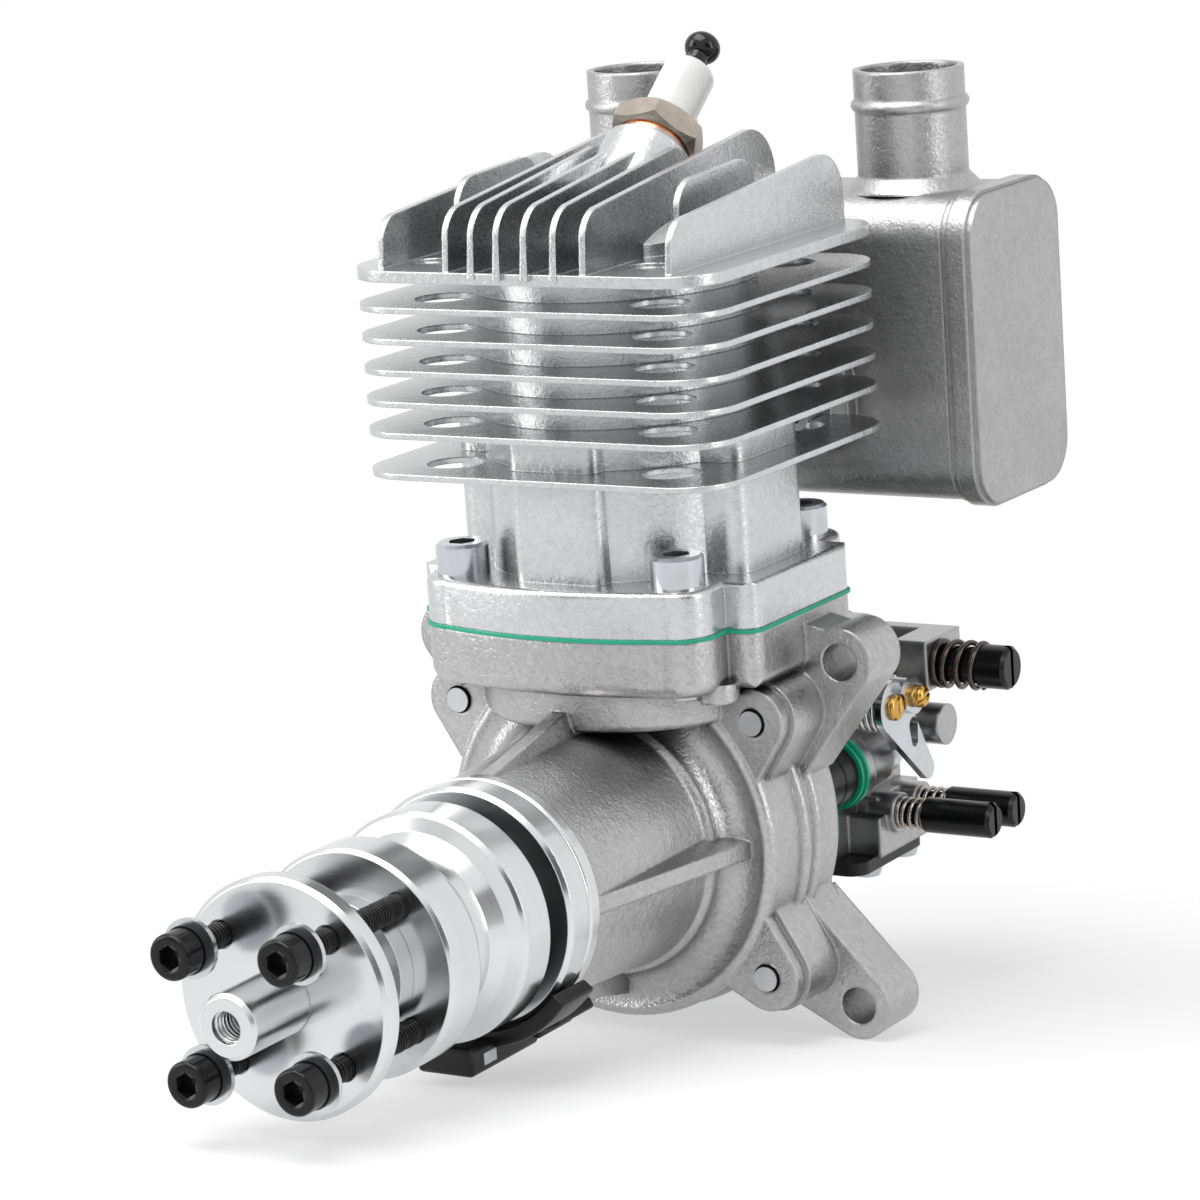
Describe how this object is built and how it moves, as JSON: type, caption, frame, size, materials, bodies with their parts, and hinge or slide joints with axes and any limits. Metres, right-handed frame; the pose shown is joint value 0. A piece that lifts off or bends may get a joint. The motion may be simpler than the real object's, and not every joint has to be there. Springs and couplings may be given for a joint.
{
  "type": "model aircraft engine",
  "caption": "Petrol two-stroke engine for model aircraft with an upright finned cylinder, rear box muffler, rear carburettor, spark plug and propeller hub with clamping bolts.",
  "frame": {"origin": "crankshaft axis at the rear face of the four mounting lugs", "axes": "-Y along the crankshaft to the propeller, +Z along the cylinder to the spark plug, +X to the side of the adjusting screws"},
  "size_m": [0.087, 0.1862, 0.1566],
  "materials": {
    "case_casting": "blasted sand casting, satin",
    "cylinder_casting": "fine cast, satin",
    "machined_aluminium": "turned, bright",
    "muffler_metal": "blasted, matt",
    "zinc_steel": "zinc plated",
    "bright_steel": "ground steel",
    "black_steel": "black oxide",
    "spring_steel": "brown spring steel",
    "reed_steel": "thin spring sheet",
    "piston_alloy": "forged, machined",
    "carb_casting": "pressure die cast",
    "inlet_metal": "plated",
    "brass": "plain brass",
    "gasket_green": "green gasket sheet",
    "exhaust_gasket": "grey fibre sheet",
    "seal_rubber": "black rubber",
    "black_moulding": "black moulding",
    "screw_cap_black": "black caps",
    "pickup_window": "pale cover, no text",
    "plug_nickel": "nickel plated",
    "plug_copper": "copper ring",
    "ceramic_white": "glazed white",
    "plug_terminal": "black, glossy"
  },
  "bodies": {
    "engine": {"crankcase_front": "case_casting", "crankcase_rear": "case_casting", "case_screws": "zinc_steel", "timing_collar": "machined_aluminium", "pickup_holder": "black_moulding", "pickup_window": "pickup_window", "bearing_outer_rings": "bright_steel", "bearing_balls": "bright_steel", "shaft_seal": "seal_rubber", "cylinder": "cylinder_casting", "base_gasket": "gasket_green", "base_screws": "zinc_steel", "plug_shell": "plug_nickel", "plug_gasket": "plug_copper", "plug_insulator": "ceramic_white", "plug_terminal": "plug_terminal", "exhaust_gasket": "exhaust_gasket", "muffler_body": "muffler_metal", "muffler_caps": "muffler_metal", "muffler_screws": "zinc_steel", "rear_gasket": "gasket_green", "reed_housing": "black_moulding", "reed_block": "black_moulding", "reed_petals": "reed_steel", "housing_screws": "zinc_steel", "carb_gaskets": "gasket_green", "heat_plate": "bright_steel", "carb_body": "carb_casting", "pump_cover": "carb_casting", "metering_cover": "black_moulding", "cover_screws": "zinc_steel", "carb_screws": "zinc_steel", "fuel_inlet": "inlet_metal", "throttle_spring": "bright_steel", "idle_spring": "spring_steel", "needle_springs": "spring_steel"},
    "crank": {"crankshaft": "bright_steel", "prop_hub": "machined_aluminium", "hub_magnet": "bright_steel", "prop_stub": "machined_aluminium", "prop_bolts": "black_steel", "spring_washers": "black_steel", "flat_washers": "bright_steel", "bearing_inner_rings": "bright_steel"},
    "prop_clamp": {"prop_washer": "machined_aluminium"},
    "piston": {"piston": "piston_alloy", "piston_ring": "spring_steel", "wrist_pin": "bright_steel"},
    "rod": {"con_rod": "piston_alloy", "crank_pin": "bright_steel"},
    "throttle": {"throttle_shaft": "bright_steel", "throttle_plate": "brass", "throttle_lever": "zinc_steel", "throttle_screws": "brass"},
    "choke": {"choke_shaft": "bright_steel", "choke_plate": "brass", "choke_lever": "zinc_steel"},
    "idle_screw": {"idle_screw": "screw_cap_black"},
    "low_needle": {"low_needle": "screw_cap_black"},
    "high_needle": {"high_needle": "screw_cap_black"}
  },
  "joints": [
    {"name": "crank_turn", "type": "hinge", "parent": "engine", "child": "crank", "pos_m": [0, 0, 0], "axis": [0, 1, 0], "continuous": true},
    {"name": "prop_washer_slide", "type": "slide", "parent": "crank", "child": "prop_clamp", "axis": [0, 1, 0], "range_m": [-0.0063, 0.0106]},
    {"name": "piston_slide", "type": "slide", "parent": "engine", "child": "piston", "axis": [0, 0, 1], "range_m": [-0.0295, 0]},
    {"name": "rod_swing", "type": "hinge", "parent": "piston", "child": "rod", "pos_m": [0, -0.0095, 0.06875], "axis": [0, 1, 0], "range_deg": [-15.8, 15.8]},
    {"name": "throttle_turn", "type": "hinge", "parent": "engine", "child": "throttle", "pos_m": [0, 0.0305, 0.01], "axis": [-1, 0, 0], "range_deg": [0, 70], "stiffness_Nm_per_rad": 0.01},
    {"name": "choke_turn", "type": "hinge", "parent": "engine", "child": "choke", "pos_m": [0, 0.0442, 0.01], "axis": [-1, 0, 0], "range_deg": [0, 75]},
    {"name": "idle_screw_turn", "type": "hinge", "parent": "engine", "child": "idle_screw", "pos_m": [0.025, 0.045, 0.0143], "axis": [1, 0, 0], "range_deg": [-180, 180]},
    {"name": "low_needle_turn", "type": "hinge", "parent": "engine", "child": "low_needle", "pos_m": [0.02, 0.0388, -0.0105], "axis": [1, 0, 0], "range_deg": [-180, 180]},
    {"name": "high_needle_turn", "type": "hinge", "parent": "engine", "child": "high_needle", "pos_m": [0.02, 0.0462, -0.0105], "axis": [1, 0, 0], "range_deg": [-180, 180]}
  ]
}
